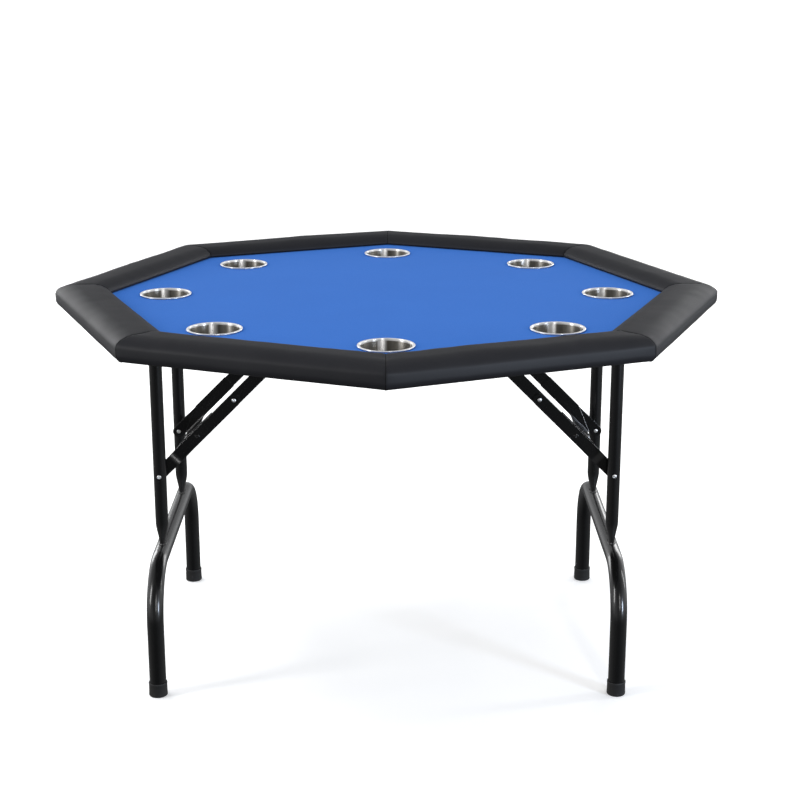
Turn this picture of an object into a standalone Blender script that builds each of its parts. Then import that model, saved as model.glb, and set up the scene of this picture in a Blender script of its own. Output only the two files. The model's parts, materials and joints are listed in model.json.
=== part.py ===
"""Folding octagonal poker table with eight drop-in cup holders.

Frame: origin on the floor under the middle of the table, +Z up. The octagon's
corners lie on the X and Y axes. Each leg frame stands near x = +/-LEG_X, spans
Y, and folds inwards about an axis parallel to Y.
"""
import math

import bmesh
import bpy
from mathutils import Matrix, Vector

# ---- Driving dimensions, in metres ----
ACROSS_FLATS = 1.2192
TABLE_HEIGHT = 0.7493
SIDES = 8
GAP = 0.0003

# Table top
RAIL_WIDTH = 0.1009
RAIL_BOTTOM = 0.7020
RAIL_LIP = 0.0500
RAIL_EDGE_FOAM = 0.0214
FELT_TOP = 0.7264
FELT_THICKNESS = 0.0017
BOARD_THICKNESS = 0.0120

# Cup holders
CUP_RING_RADIUS = 0.4392
CUP_RIM_RADIUS = 0.0509
CUP_RIM_HEIGHT = 0.0022
CUP_OUTER_RADIUS = 0.0472
CUP_WALL = 0.0010
CUP_BOTTOM = 0.6645
CUP_HOLE_RADIUS = 0.0484
CUP_SEGMENTS = 20

# Leg frames
LEG_X = 0.4430
UPRIGHT_Y = 0.1580
UPRIGHT_RADIUS = 0.0125
UPRIGHT_WALL = 0.0012
UPRIGHT_TOP_MARGIN = 0.0080
UPRIGHT_PINCH_HEIGHT = 0.0430
UPRIGHT_PINCH_X = 0.52
UPRIGHT_PINCH_Y = 1.27
FOOT_Y = 0.3020
FOOT_TUBE_RADIUS = 0.0160
FOOT_TUBE_WALL = 0.0014
FOOT_BAR_Z = 0.2450
FOOT_BEND_RADIUS = 0.1000
FOOT_CAP_RADIUS = 0.0180
FOOT_CAP_HEIGHT = 0.0280
FOOT_CAP_FLOOR = 0.0037
TUBE_SEGMENTS = 12

# Folding braces: a knee linkage with LINK_REACH from the leg's pivot to both
# of its outer pivots and the knee half way between those two.
LEG_PIVOT_Z = 0.6930
LINK_REACH = 0.2935
ARM_LENGTH = LINK_REACH / math.sqrt(2.0)
BAR_HALF_WIDTH = 0.0125
BAR_TAIL = 0.0500
BAR_TAIL_CORNER = 0.0030
UPPER_BAR_Y = (0.1360, 0.1385)
LOWER_ARM_Y = (0.1390, 0.1415)
LOWER_ARM_JOGGLE = 0.0035
JOGGLE_START = 0.76
JOGGLE_END = 0.84
CATCH_FLANGE_Y = (0.1340, 0.1355)
CATCH_HALF_HEIGHT = 0.0140
CATCH_START = 0.24
CATCH_WEB_START = 0.69
CATCH_CUT_START = 0.67
CATCH_END = 0.94

# Brackets, bolts and rivets
SHEET_STEEL = 0.0020
LEG_BRACKET_HALF_X = 0.0180
LEG_BRACKET_EAR_HALF_X = 0.0090
LEG_BRACKET_EAR_Y = (0.0132, 0.0152)
LEG_BRACKET_FLANGE_Y = 0.0290
LEG_BRACKET_EAR_BELOW_PIVOT = 0.0110
BRACE_BRACKET_HALF_X = 0.0085
BRACE_BRACKET_EAR_HALF_X = 0.0060
BRACE_BRACKET_EAR_Y = (0.1315, 0.1335)
BRACE_BRACKET_EAR_BELOW_PIVOT = 0.0085
PIN_RADIUS = 0.0030
PIN_HOLE_RADIUS = 0.0035
BOLT_HEAD_RADIUS = 0.0062
RIVET_HEAD_RADIUS = 0.0042
HEAD_HEIGHT = 0.0020
PIN_SEGMENTS = 10

LEFT = -1
RIGHT = 1
SIDE_NAMES = {LEFT: "left", RIGHT: "right"}
END_NAMES = {-1: "front", 1: "back"}

# Derived levels
BOARD_TOP = FELT_TOP - FELT_THICKNESS - GAP
BOARD_BOTTOM = BOARD_TOP - BOARD_THICKNESS
BRACKET_TOP = BOARD_BOTTOM - GAP
BRACKET_BASE = BRACKET_TOP - SHEET_STEEL
OUTER_APOTHEM = ACROSS_FLATS / 2.0
BOARD_APOTHEM = OUTER_APOTHEM - RAIL_EDGE_FOAM - GAP

# Pivots of the right-hand linkage in the XZ plane
LEG_PIVOT = Vector((LEG_X, LEG_PIVOT_Z))
BRACE_PIVOT = Vector((LEG_X - LINK_REACH, LEG_PIVOT_Z))
ARM_PIVOT = Vector((LEG_X, LEG_PIVOT_Z - LINK_REACH))
KNEE_PIVOT = (BRACE_PIVOT + ARM_PIVOT) / 2.0


# ---- Scene and materials ----
def clear_scene():
    """Empty the scene so that the table is all there is."""
    for item in list(bpy.data.objects):
        bpy.data.objects.remove(item, do_unlink=True)


def make_material(name, colour, roughness, metallic):
    """A plain Principled finish."""
    material = bpy.data.materials.new(name)
    material.use_nodes = True
    shader = material.node_tree.nodes["Principled BSDF"]
    shader.inputs["Base Color"].default_value = (*colour, 1.0)
    shader.inputs["Roughness"].default_value = roughness
    shader.inputs["Metallic"].default_value = metallic
    material.diffuse_color = (*colour, 1.0)
    return material


FINISHES = {
    "board": ((0.10, 0.085, 0.070), 0.75, 0.0),
    "felt": ((0.055, 0.175, 0.600), 0.95, 0.0),
    "leatherette": ((0.020, 0.020, 0.022), 0.45, 0.0),
    "powder_coat": ((0.012, 0.012, 0.013), 0.35, 0.0),
    "zinc": ((0.70, 0.70, 0.70), 0.30, 1.0),
    "stainless": ((0.66, 0.65, 0.62), 0.25, 1.0),
    "foot_plastic": ((0.015, 0.015, 0.015), 0.60, 0.0),
}


def add_joint(name, position):
    """An empty on a joint's axis, which carries the pieces that turn or slide on it."""
    empty = bpy.data.objects.new(name, None)
    empty.location = position
    bpy.context.scene.collection.objects.link(empty)
    return empty


def add_object(name, mesh, finish=None, parent=None):
    """Put a bmesh that is drawn in table coordinates into the scene as an object."""
    origin = parent.location.copy() if parent else Vector((0.0, 0.0, 0.0))
    mesh.transform(Matrix.Translation(-origin))
    bmesh.ops.recalc_face_normals(mesh, faces=mesh.faces)
    data = bpy.data.meshes.new(name)
    mesh.to_mesh(data)
    mesh.free()
    piece = bpy.data.objects.new(name, data)
    piece.parent = parent
    bpy.context.scene.collection.objects.link(piece)
    data.shade_smooth()
    data.set_sharp_from_angle(angle=math.radians(35.0))
    if finish:
        colour, roughness, metallic = FINISHES[finish]
        data.materials.append(make_material(name + "_finish", colour, roughness, metallic))
    return piece


def add_cutter(name, mesh):
    """A guide solid that only serves Boolean modifiers."""
    cutter = add_object(name, mesh)
    cutter.hide_render = True
    cutter.display_type = "WIRE"
    return cutter


def add_boolean(piece, tool, operation):
    """Cut a tool from a piece, or weld it on."""
    modifier = piece.modifiers.new(tool.name, "BOOLEAN")
    modifier.operation = operation
    modifier.solver = "EXACT"
    modifier.object = tool


# ---- Mesh helpers ----
def loft(rings, joined=False):
    """Skin a row of equal rings; the ends are capped, or joined to each other."""
    mesh = bmesh.new()
    rows = [[mesh.verts.new(point) for point in ring] for ring in rings]
    pairs = list(zip(rows, rows[1:]))
    if joined:
        pairs.append((rows[-1], rows[0]))
    else:
        mesh.faces.new(rows[0])
        mesh.faces.new(rows[-1])
    for first, second in pairs:
        for i in range(len(first)):
            j = (i + 1) % len(first)
            mesh.faces.new((first[i], first[j], second[j], second[i]))
    return mesh


def circle(centre, across, up, radius, segments):
    """Points round a centre in the plane of two unit directions."""
    points = []
    for i in range(segments):
        turn = math.tau * i / segments
        points.append(centre + across * (radius * math.cos(turn)) + up * (radius * math.sin(turn)))
    return points


def turned(profile, centre, axis, segments):
    """Turn a row of (radius, distance along the axis) about a line through the centre."""
    across = Vector((1.0, 0.0, 0.0))
    up = axis.cross(across)
    rings = [circle(centre + axis * height, across, up, radius, segments) for radius, height in profile]
    return loft(rings)


def place(mesh, side, end=1):
    """Mirror a mesh drawn at the right and back to another quarter of the table."""
    mesh.transform(Matrix.Diagonal((side, end, 1.0, 1.0)))
    return mesh


def arc(centre, radii, start, stop, steps):
    """Points of an elliptical arc, with angles in degrees."""
    points = []
    for i in range(steps + 1):
        turn = math.radians(start + (stop - start) * i / steps)
        points.append((centre[0] + radii[0] * math.cos(turn), centre[1] + radii[1] * math.sin(turn)))
    return points


def octagon(apothem, height):
    """The corners of the table's octagon at a level."""
    radius = apothem / math.cos(math.pi / SIDES)
    corners = range(SIDES)
    return [Vector((radius * math.cos(math.tau * k / SIDES), radius * math.sin(math.tau * k / SIDES), height))
            for k in corners]


# ---- Table top ----
def cup_centre(index):
    """The middle of a cup holder, in line with an octagon corner."""
    turn = math.tau * index / SIDES
    return Vector((CUP_RING_RADIUS * math.cos(turn), CUP_RING_RADIUS * math.sin(turn), 0.0))


def build_cup_hole_cutter():
    """Eight round cutters in one guide object."""
    mesh = bmesh.new()
    depth = 4.0 * BOARD_THICKNESS
    for index in range(SIDES):
        spot = cup_centre(index) + Vector((0.0, 0.0, BOARD_BOTTOM))
        bmesh.ops.create_cone(mesh, cap_ends=True, segments=CUP_SEGMENTS, radius1=CUP_HOLE_RADIUS,
                              radius2=CUP_HOLE_RADIUS, depth=depth, matrix=Matrix.Translation(spot))
    return add_cutter("cup_hole_cutter", mesh)


def build_board(cutter):
    """The wooden playing board with its eight round holes."""
    mesh = loft([octagon(BOARD_APOTHEM, BOARD_BOTTOM), octagon(BOARD_APOTHEM, BOARD_TOP)])
    board = add_object("playing_board", mesh, "board")
    add_boolean(board, cutter, "DIFFERENCE")


def build_felt(cutter):
    """The blue cloth that lies on the board, cut out round each cup holder."""
    bottom = FELT_TOP - FELT_THICKNESS
    mesh = loft([octagon(BOARD_APOTHEM, bottom), octagon(BOARD_APOTHEM, FELT_TOP)])
    felt = add_object("felt_cloth", mesh, "felt")
    add_boolean(felt, cutter, "DIFFERENCE")


def rail_profile():
    """The pad's outline as (apothem, height): crowned over the felt, wrapped round the board's edge."""
    inner = OUTER_APOTHEM - RAIL_WIDTH
    crown_rise = 0.0203
    inner_round = 0.0348
    outer_round = 0.0406
    edge_round = 0.0160
    inner_toe = 0.0020
    shoulder = TABLE_HEIGHT - crown_rise
    lip_top = BOARD_BOTTOM - GAP
    edge = BOARD_APOTHEM + GAP
    points = arc((inner + inner_round, shoulder), (inner_round, crown_rise), 180.0, 90.0, 6)
    points += arc((OUTER_APOTHEM - outer_round, shoulder), (outer_round, crown_rise), 90.0, 0.0, 6)
    low_round = (OUTER_APOTHEM - edge_round, RAIL_BOTTOM + edge_round)
    points += arc(low_round, (edge_round, edge_round), 0.0, -90.0, 5)
    points += [(OUTER_APOTHEM - RAIL_LIP, RAIL_BOTTOM), (OUTER_APOTHEM - RAIL_LIP, lip_top), (edge, lip_top)]
    points += [(edge, FELT_TOP + GAP), (inner + inner_toe, FELT_TOP + GAP)]
    return points


def build_rail_pads():
    """Eight padded lengths of rail, mitred at the corners."""
    half_corner = math.pi / SIDES
    for index in range(SIDES):
        turn = math.tau * (index + 0.5) / SIDES
        outward = Vector((math.cos(turn), math.sin(turn), 0.0))
        along = Vector((-math.sin(turn), math.cos(turn), 0.0))
        rings = []
        for end in (-1, 1):
            ring = []
            for apothem, height in rail_profile():
                reach = end * (apothem * math.tan(half_corner) - GAP / 2.0)
                ring.append(outward * apothem + along * reach + Vector((0.0, 0.0, height)))
            rings.append(ring)
        add_object(f"rail_pad_{index + 1}", loft(rings), "leatherette")


def cup_profile():
    """The cup holder's wall as (radius, height), from under its floor round the lip to the floor inside."""
    inner = CUP_OUTER_RADIUS - CUP_WALL
    corner = 0.0045
    lip = FELT_TOP + GAP
    return [
        (CUP_OUTER_RADIUS - corner, CUP_BOTTOM),
        (CUP_OUTER_RADIUS, CUP_BOTTOM + corner),
        (CUP_OUTER_RADIUS, lip),
        (CUP_RIM_RADIUS, lip),
        (CUP_RIM_RADIUS, lip + CUP_RIM_HEIGHT / 2.0),
        (CUP_RIM_RADIUS - CUP_RIM_HEIGHT, lip + CUP_RIM_HEIGHT),
        (inner, lip + CUP_RIM_HEIGHT / 2.0),
        (inner, CUP_BOTTOM + corner),
        (inner - corner, CUP_BOTTOM + CUP_WALL),
    ]


def build_cup_holders():
    """Eight steel cups that drop into the board and lift out."""
    for index in range(SIDES):
        joint = add_joint(f"cup_holder_{index + 1}_slide", cup_centre(index) + Vector((0.0, 0.0, FELT_TOP)))
        mesh = turned(cup_profile(), cup_centre(index), Vector((0.0, 0.0, 1.0)), CUP_SEGMENTS)
        add_object(f"cup_holder_{index + 1}", mesh, "stainless", joint)


# ---- Brackets under the board ----
def bracket_section(x, depth, ear, flange):
    """A slice through a bracket: a plate across the top and two ears that hang down from it."""
    ear_inner, ear_outer = ear
    low = BRACKET_BASE - depth
    half = [(ear_inner, BRACKET_BASE), (ear_inner, low), (ear_outer, low)]
    if flange > ear_outer:
        half += [(ear_outer, BRACKET_BASE), (flange, BRACKET_BASE)]
    half.append((flange, BRACKET_TOP))
    mirrored = [(-y, z) for y, z in reversed(half)]
    return [Vector((x, y, z)) for y, z in half + mirrored]


def bracket_mesh(half_x, ear_half_x, ear, flange, below_pivot):
    """A pressed bracket whose ears taper down to the pivot."""
    full = BRACKET_BASE - LEG_PIVOT_Z + below_pivot
    short = full / 3.0
    stations = [(-half_x, short), (-ear_half_x, full), (ear_half_x, full), (half_x, short)]
    return loft([bracket_section(x, depth, ear, flange) for x, depth in stations])


def build_leg_brackets(side, leg_hole):
    """The two brackets that a leg frame hangs in."""
    for end, end_name in END_NAMES.items():
        mesh = bracket_mesh(LEG_BRACKET_HALF_X, LEG_BRACKET_EAR_HALF_X, LEG_BRACKET_EAR_Y,
                            LEG_BRACKET_FLANGE_Y, LEG_BRACKET_EAR_BELOW_PIVOT)
        mesh.transform(Matrix.Translation((LEG_X, UPRIGHT_Y, 0.0)))
        name = f"leg_bracket_{SIDE_NAMES[side]}_{end_name}"
        bracket = add_object(name, place(mesh, side, end), "powder_coat")
        add_boolean(bracket, leg_hole, "DIFFERENCE")


def build_brace_bracket(side, brace_hole):
    """The long bracket across the board that carries both upper brace bars."""
    mesh = bracket_mesh(BRACE_BRACKET_HALF_X, BRACE_BRACKET_EAR_HALF_X, BRACE_BRACKET_EAR_Y,
                        BRACE_BRACKET_EAR_Y[1], BRACE_BRACKET_EAR_BELOW_PIVOT)
    mesh.transform(Matrix.Translation((BRACE_PIVOT.x, 0.0, 0.0)))
    bracket = add_object(f"brace_bracket_{SIDE_NAMES[side]}", place(mesh, side), "powder_coat")
    add_boolean(bracket, brace_hole, "DIFFERENCE")


# ---- Pins ----
def build_pin_hole(side, name, pivot):
    """A long cutter through every piece on one pivot."""
    mesh = turned([(PIN_HOLE_RADIUS, -2.0 * UPRIGHT_Y), (PIN_HOLE_RADIUS, 2.0 * UPRIGHT_Y)],
                  Vector((pivot.x, 0.0, pivot.y)), Vector((0.0, 1.0, 0.0)), PIN_SEGMENTS)
    return add_cutter(f"{name}_hole_{SIDE_NAMES[side]}", place(mesh, side))


def head_profile(face, outward, radius):
    """A domed head that sits on a face and points outwards, as (radius, distance)."""
    return [
        (radius, face),
        (0.85 * radius, face + 0.6 * outward * HEAD_HEIGHT),
        (0.45 * radius, face + outward * HEAD_HEIGHT),
    ]


def pin_mesh(pivot, inner, outer, head_radius, inner_head=True):
    """A pin along Y between two faces, with a head outside one or both."""
    profile = []
    if inner_head:
        profile += reversed(head_profile(inner, -1.0, head_radius))
    profile += [(PIN_RADIUS, inner), (PIN_RADIUS, outer)]
    profile += head_profile(outer, 1.0, head_radius)
    return turned(profile, Vector((pivot.x, 0.0, pivot.y)), Vector((0.0, 1.0, 0.0)), PIN_SEGMENTS)


def build_leg_bolts(side):
    """The bolts through each upright and its bracket."""
    reach = LEG_BRACKET_EAR_Y[1] + GAP
    for end, end_name in END_NAMES.items():
        mesh = pin_mesh(LEG_PIVOT, UPRIGHT_Y - reach, UPRIGHT_Y + reach, BOLT_HEAD_RADIUS)
        add_object(f"leg_bolt_{SIDE_NAMES[side]}_{end_name}", place(mesh, side, end), "zinc")


def build_brace_rod(side):
    """The rod through the brace bracket and both upper bars."""
    half_length = UPPER_BAR_Y[1] + 0.0013
    rod = [(PIN_RADIUS, -half_length), (PIN_RADIUS, half_length)]
    mesh = turned(rod, Vector((BRACE_PIVOT.x, 0.0, BRACE_PIVOT.y)), Vector((0.0, 1.0, 0.0)), PIN_SEGMENTS)
    add_object(f"brace_rod_{SIDE_NAMES[side]}", place(mesh, side), "zinc")


# ---- Leg frames ----
def upright_ring(height, radius):
    """A slice through an upright, which is squeezed flat towards its foot."""
    bottom = FOOT_BAR_Z + FOOT_TUBE_RADIUS + GAP
    rise = min(1.0, (height - bottom) / UPRIGHT_PINCH_HEIGHT)
    ease = 0.5 - 0.5 * math.cos(math.pi * rise)
    across = Vector((UPRIGHT_PINCH_X + (1.0 - UPRIGHT_PINCH_X) * ease, 0.0, 0.0))
    along = Vector((0.0, UPRIGHT_PINCH_Y + (1.0 - UPRIGHT_PINCH_Y) * ease, 0.0))
    return circle(Vector((LEG_X, UPRIGHT_Y, height)), across, along, radius, TUBE_SEGMENTS)


def build_uprights(side, leg_joint, leg_hole, arm_hole):
    """Two straight tubes, each pinched where it is welded to the bent foot tube."""
    bottom = FOOT_BAR_Z + FOOT_TUBE_RADIUS + GAP
    top = LEG_PIVOT_Z + UPRIGHT_TOP_MARGIN
    heights = [bottom + UPRIGHT_PINCH_HEIGHT * step / 4.0 for step in range(5)] + [top]
    inner_radius = UPRIGHT_RADIUS - UPRIGHT_WALL
    for end, end_name in END_NAMES.items():
        rings = [upright_ring(height, UPRIGHT_RADIUS) for height in heights]
        rings += [upright_ring(height, inner_radius) for height in reversed(heights)]
        mesh = place(loft(rings, joined=True), side, end)
        upright = add_object(f"leg_upright_{SIDE_NAMES[side]}_{end_name}", mesh, "powder_coat", leg_joint)
        add_boolean(upright, leg_hole, "DIFFERENCE")
        add_boolean(upright, arm_hole, "DIFFERENCE")


def foot_tube_path():
    """The bent tube's centre line and its direction at each point, in the YZ plane."""
    bend_z = FOOT_BAR_Z - FOOT_BEND_RADIUS
    bend_y = FOOT_Y - FOOT_BEND_RADIUS
    steps = 7
    half = [(Vector((FOOT_Y, FOOT_CAP_FLOOR + GAP)), 0.0)]
    for y, z in arc((bend_y, bend_z), (FOOT_BEND_RADIUS, FOOT_BEND_RADIUS), 0.0, 90.0, steps):
        half.append((Vector((y, z)), math.degrees(math.atan2(z - bend_z, y - bend_y))))
    mirrored = [(Vector((-point.x, point.y)), 180.0 - turn) for point, turn in reversed(half)]
    return half + mirrored


def build_foot_tube(side, leg_joint):
    """The n-shaped tube whose two ends are the feet of a leg frame."""
    outer = []
    inner = []
    for point, turn in foot_tube_path():
        centre = Vector((LEG_X, point.x, point.y))
        normal = Vector((0.0, math.cos(math.radians(turn)), math.sin(math.radians(turn))))
        across = Vector((1.0, 0.0, 0.0))
        outer.append(circle(centre, across, normal, FOOT_TUBE_RADIUS, TUBE_SEGMENTS))
        inner.append(circle(centre, across, normal, FOOT_TUBE_RADIUS - FOOT_TUBE_WALL, TUBE_SEGMENTS))
    mesh = place(loft(outer + inner[::-1], joined=True), side)
    add_object(f"foot_tube_{SIDE_NAMES[side]}", mesh, "powder_coat", leg_joint)


def build_foot_caps(side, leg_joint):
    """Moulded caps pushed over the ends of the foot tube."""
    inner = FOOT_TUBE_RADIUS + GAP
    rounding = 0.0020
    profile = [
        (FOOT_CAP_RADIUS - rounding, 0.0),
        (FOOT_CAP_RADIUS, rounding),
        (FOOT_CAP_RADIUS, FOOT_CAP_HEIGHT),
        (inner, FOOT_CAP_HEIGHT),
        (inner, FOOT_CAP_FLOOR),
    ]
    for end, end_name in END_NAMES.items():
        mesh = turned(profile, Vector((LEG_X, FOOT_Y, 0.0)), Vector((0.0, 0.0, 1.0)), TUBE_SEGMENTS)
        name = f"foot_cap_{SIDE_NAMES[side]}_{end_name}"
        add_object(name, place(mesh, side, end), "foot_plastic", leg_joint)


def build_arm_rivets(side, leg_joint):
    """The rivets that hold the lower brace arms to the uprights."""
    inner = LOWER_ARM_Y[0] + LOWER_ARM_JOGGLE - GAP
    outer = UPRIGHT_Y + UPRIGHT_RADIUS + GAP
    for end, end_name in END_NAMES.items():
        mesh = place(pin_mesh(ARM_PIVOT, inner, outer, RIVET_HEAD_RADIUS), side, end)
        add_object(f"arm_rivet_{SIDE_NAMES[side]}_{end_name}", mesh, "zinc", leg_joint)


# ---- Braces ----
def strip_mesh(start, stop, stations, layer):
    """A flat strip in the XZ plane from one pivot towards another.

    Each station is (distance from start, half width, offset of the layer along Y).
    """
    along = (stop - start).normalized()
    across = Vector((-along.y, along.x))
    near, far = layer
    rings = []
    for distance, half_width, offset in stations:
        corners = [(half_width, near), (-half_width, near), (-half_width, far), (half_width, far)]
        ring = []
        for width, y in corners:
            spot = start + along * distance + across * width
            ring.append(Vector((spot.x, y + offset, spot.y)))
        rings.append(ring)
    return loft(rings)


def rounded_end(position, outward, offset):
    """Stations of a half-round strip end about a pivot, from its tip inwards."""
    stations = []
    for turn in (15.0, 35.0, 60.0, 90.0):
        reach = position + outward * BAR_HALF_WIDTH * math.cos(math.radians(turn))
        stations.append((reach, BAR_HALF_WIDTH * math.sin(math.radians(turn)), offset))
    return stations


def build_upper_bars(side, joint, brace_hole, knee_hole):
    """The flat bars from the board down to the knee, each with a tail that runs on past it."""
    end_reach = ARM_LENGTH + BAR_TAIL
    stations = rounded_end(0.0, -1.0, 0.0)
    stations.append((end_reach - BAR_TAIL_CORNER, BAR_HALF_WIDTH, 0.0))
    stations.append((end_reach, BAR_HALF_WIDTH - BAR_TAIL_CORNER, 0.0))
    for end, end_name in END_NAMES.items():
        mesh = place(strip_mesh(BRACE_PIVOT, KNEE_PIVOT, stations, UPPER_BAR_Y), side, end)
        bar = add_object(f"upper_bar_{SIDE_NAMES[side]}_{end_name}", mesh, "powder_coat", joint)
        add_boolean(bar, brace_hole, "DIFFERENCE")
        add_boolean(bar, knee_hole, "DIFFERENCE")


def build_lower_arms(side, joint, arm_hole, knee_hole):
    """The flat arms from the knee to the uprights, stepped outwards near the upright."""
    stations = rounded_end(0.0, -1.0, 0.0)
    stations.append((JOGGLE_START * ARM_LENGTH, BAR_HALF_WIDTH, 0.0))
    stations.append((JOGGLE_END * ARM_LENGTH, BAR_HALF_WIDTH, LOWER_ARM_JOGGLE))
    stations += reversed(rounded_end(ARM_LENGTH, 1.0, LOWER_ARM_JOGGLE))
    for end, end_name in END_NAMES.items():
        mesh = place(strip_mesh(KNEE_PIVOT, ARM_PIVOT, stations, LOWER_ARM_Y), side, end)
        arm = add_object(f"lower_arm_{SIDE_NAMES[side]}_{end_name}", mesh, "powder_coat", joint)
        add_boolean(arm, arm_hole, "DIFFERENCE")
        add_boolean(arm, knee_hole, "DIFFERENCE")


def catch_plate_outline(stations):
    """Turn (share of the arm's length, distance towards the leg pivot) into points in the XZ plane."""
    along = (ARM_PIVOT - KNEE_PIVOT).normalized()
    across = Vector((-along.y, along.x))
    return [KNEE_PIVOT + along * (share * ARM_LENGTH) + across * width for share, width in stations]


def slab(outline, near, far):
    """Extrude an outline in the XZ plane between two distances along Y."""
    return loft([[Vector((point.x, y, point.y)) for point in outline] for y in (near, far)])


def build_catch_plate(side, joint):
    """The folded plate between the lower arms: a web and two flanges, cut away on a slant."""
    half = CATCH_HALF_HEIGHT
    web_top = -half + (CATCH_FLANGE_Y[1] - CATCH_FLANGE_Y[0])
    flange = catch_plate_outline([(CATCH_START, -half), (CATCH_END, -half), (CATCH_END, web_top),
                                  (CATCH_CUT_START, half), (CATCH_START, half)])
    web = catch_plate_outline([(CATCH_WEB_START, -half), (CATCH_END, -half),
                               (CATCH_END, web_top), (CATCH_WEB_START, web_top)])
    name = SIDE_NAMES[side]
    reach = sum(CATCH_FLANGE_Y) / 2.0
    plate = add_object(f"catch_plate_{name}", place(slab(web, -reach, reach), side), "powder_coat", joint)
    for end, end_name in END_NAMES.items():
        weld = add_cutter(f"catch_flange_{name}_{end_name}", place(slab(flange, *CATCH_FLANGE_Y), side, end))
        add_boolean(plate, weld, "UNION")


def build_knee_rivets(side, joint):
    """The rivets at the knee, on the lower arms; the knee is the linkage's open pivot."""
    inner = LOWER_ARM_Y[0] - GAP / 2.0
    outer = LOWER_ARM_Y[1] + GAP
    for end, end_name in END_NAMES.items():
        mesh = place(pin_mesh(KNEE_PIVOT, inner, outer, RIVET_HEAD_RADIUS, inner_head=False), side, end)
        add_object(f"knee_rivet_{SIDE_NAMES[side]}_{end_name}", mesh, "zinc", joint)


def build_side(side):
    """One leg frame with its brackets and folding braces."""
    name = SIDE_NAMES[side]
    leg_hole = build_pin_hole(side, "leg", LEG_PIVOT)
    arm_hole = build_pin_hole(side, "arm", ARM_PIVOT)
    brace_hole = build_pin_hole(side, "brace", BRACE_PIVOT)
    knee_hole = build_pin_hole(side, "knee", KNEE_PIVOT)
    leg_joint = add_joint(f"{name}_leg_pivot", (side * LEG_PIVOT.x, 0.0, LEG_PIVOT.y))
    upper_joint = add_joint(f"{name}_upper_brace_pivot", (side * BRACE_PIVOT.x, 0.0, BRACE_PIVOT.y))
    lower_joint = add_joint(f"{name}_lower_brace_pivot", (side * ARM_PIVOT.x, 0.0, ARM_PIVOT.y))
    build_leg_brackets(side, leg_hole)
    build_leg_bolts(side)
    build_brace_bracket(side, brace_hole)
    build_brace_rod(side)
    build_uprights(side, leg_joint, leg_hole, arm_hole)
    build_foot_tube(side, leg_joint)
    build_foot_caps(side, leg_joint)
    build_arm_rivets(side, leg_joint)
    build_upper_bars(side, upper_joint, brace_hole, knee_hole)
    build_lower_arms(side, lower_joint, arm_hole, knee_hole)
    build_catch_plate(side, lower_joint)
    build_knee_rivets(side, lower_joint)


def main():
    """Build the whole table."""
    clear_scene()
    cutter = build_cup_hole_cutter()
    build_board(cutter)
    build_felt(cutter)
    build_rail_pads()
    build_cup_holders()
    build_side(LEFT)
    build_side(RIGHT)


main()
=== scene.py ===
# %% [markdown]
# # A folding poker table
# An octagonal card table: a board covered with blue cloth, a padded rail of
# black leatherette, eight steel cups, and two leg frames that fold flat. The
# frame comes first, because every size and place below is read from it.

# %% Load the frame
import json
import math

import bmesh
import bpy
from mathutils import Matrix, Vector, geometry, noise


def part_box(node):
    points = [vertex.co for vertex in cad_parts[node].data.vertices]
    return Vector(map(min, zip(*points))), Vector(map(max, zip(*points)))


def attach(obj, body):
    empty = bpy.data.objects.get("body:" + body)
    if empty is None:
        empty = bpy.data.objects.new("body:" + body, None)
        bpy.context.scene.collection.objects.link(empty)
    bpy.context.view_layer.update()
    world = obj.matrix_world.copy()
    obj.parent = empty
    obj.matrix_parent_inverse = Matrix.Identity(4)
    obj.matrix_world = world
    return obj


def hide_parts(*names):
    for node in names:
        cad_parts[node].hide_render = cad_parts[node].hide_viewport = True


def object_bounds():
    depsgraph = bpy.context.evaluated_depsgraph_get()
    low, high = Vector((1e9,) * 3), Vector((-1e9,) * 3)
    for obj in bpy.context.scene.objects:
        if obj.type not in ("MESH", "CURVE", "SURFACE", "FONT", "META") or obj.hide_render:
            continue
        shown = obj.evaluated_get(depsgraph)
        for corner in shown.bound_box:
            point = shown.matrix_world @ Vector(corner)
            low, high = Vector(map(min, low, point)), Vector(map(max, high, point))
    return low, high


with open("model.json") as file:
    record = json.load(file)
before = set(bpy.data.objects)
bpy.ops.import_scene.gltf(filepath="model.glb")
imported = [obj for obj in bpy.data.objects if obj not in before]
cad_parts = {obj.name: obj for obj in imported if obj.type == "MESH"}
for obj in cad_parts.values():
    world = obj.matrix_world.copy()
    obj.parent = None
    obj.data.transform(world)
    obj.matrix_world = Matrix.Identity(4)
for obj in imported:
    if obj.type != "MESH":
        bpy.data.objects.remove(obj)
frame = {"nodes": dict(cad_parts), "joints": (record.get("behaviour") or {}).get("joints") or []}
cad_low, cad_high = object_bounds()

print("frame box", [round(value, 4) for value in (*cad_low, *cad_high)])

# %% [markdown]
# ## Names for the quarters of the table
# The table is the same at its left and right and at its front and back. Each
# side has a sign along X and each end a sign along Y, so that one function
# draws a piece once and mirrors it to the other quarters.

# %% Sides, ends and pivots
MM = 0.001
SIDES = {"left": -1, "right": 1}
ENDS = {"front": -1, "back": 1}
QUARTERS = [(side, end) for side in SIDES for end in ENDS]
EIGHT = range(8)
HALF_CORNER = math.pi / 8
X_AXIS, Y_AXIS, Z_AXIS = Vector((1, 0, 0)), Vector((0, 1, 0)), Vector((0, 0, 1))
pivots = {joint["name"]: Vector(joint["pos_m"]) for joint in frame["joints"] if joint["type"] == "hinge"}
leg_pivot = pivots["right_leg_fold"]
brace_pivot = pivots["right_upper_brace_fold"]
arm_pivot = pivots["right_lower_brace_fold"]
knee_pivot = (brace_pivot + arm_pivot) / 2
print("brace bar", round((arm_pivot - knee_pivot).length, 4), "m between pivots")

# %% [markdown]
# ## The camera
# A long lens from a standing person's height flattens the octagon only a
# little. The small upward shift keeps the legs upright in the picture while
# the table sits low in the frame.

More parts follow.
